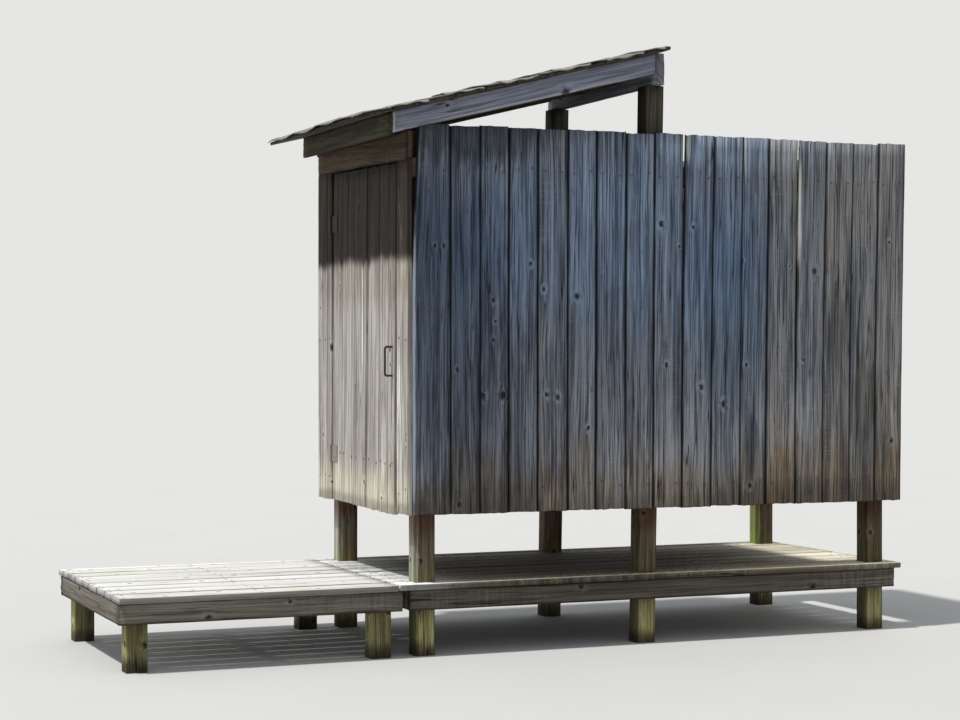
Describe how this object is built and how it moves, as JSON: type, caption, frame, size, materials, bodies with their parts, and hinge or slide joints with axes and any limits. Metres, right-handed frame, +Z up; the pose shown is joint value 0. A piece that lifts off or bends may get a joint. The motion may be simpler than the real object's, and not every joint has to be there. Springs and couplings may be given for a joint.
{
  "type": "outdoor shower",
  "caption": "Weathered board shower stall on square posts over a low deck, half under a lean-to roof, with a sagging board door and a deck landing",
  "frame": {"origin": "on the ground, below the middle of the object's bounding box", "axes": "+X along the front from the landing and door end to the open end, +Y from the front to the back, +Z up"},
  "size_m": [3.718, 1.32, 2.6739],
  "materials": {
    "wall_boards": "bare boards weathered silver grey with knots and cracks",
    "door_boards": "bare boards weathered silver grey with tan stains",
    "posts": "treated timber with green algae",
    "framing": "treated timber, brown and dull",
    "roof_timber": "weathered timber with moss",
    "roofing": "mineral granule shingles, worn and curled, with lichen and a torn edge",
    "deck_boards": "bleached rough deck boards",
    "deck_framing": "treated timber, grey green",
    "hardware": "rusted steel"
  },
  "bodies": {
    "frame": {"front_wall": "wall_boards", "rear_wall": "wall_boards", "right_wall": "wall_boards", "left_strip_front": "wall_boards", "left_strip_rear": "wall_boards", "door_header": "wall_boards", "post_front_left": "posts", "post_front_mid": "posts", "post_front_right": "posts", "post_rear_left": "posts", "post_rear_mid": "posts", "post_rear_right": "posts", "front_rails": "framing", "rear_rails": "framing", "right_rails": "framing", "left_header_rail": "framing", "latch_jamb": "framing", "door_stop": "framing", "hinge_jamb": "framing", "rake_front": "roof_timber", "rake_rear": "roof_timber", "rafter_1": "roof_timber", "rafter_2": "roof_timber", "eave_fascia": "roof_timber", "high_beam": "roof_timber", "sheathing": "roof_timber", "roofing": "roofing", "deck_boards": "deck_boards", "landing_boards": "deck_boards", "deck_rim_front": "deck_framing", "deck_rim_rear": "deck_framing", "deck_side_rims": "deck_framing", "deck_joists": "deck_framing", "landing_rims": "deck_framing", "landing_joists": "deck_framing", "landing_feet": "deck_framing", "frame_hinge_halves": "hardware"},
    "door": {"door_leaf": "door_boards", "door_ledge_low": "door_boards", "door_ledge_high": "door_boards", "door_brace": "door_boards", "door_hinge_halves": "hardware", "door_pull": "hardware"}
  },
  "joints": [
    {"name": "door_hinge", "type": "hinge", "parent": "frame", "child": "door", "pos_m": [-0.623, 0.405, 0.315], "axis": [0, 0, -1], "range_deg": [0, 110]}
  ]
}
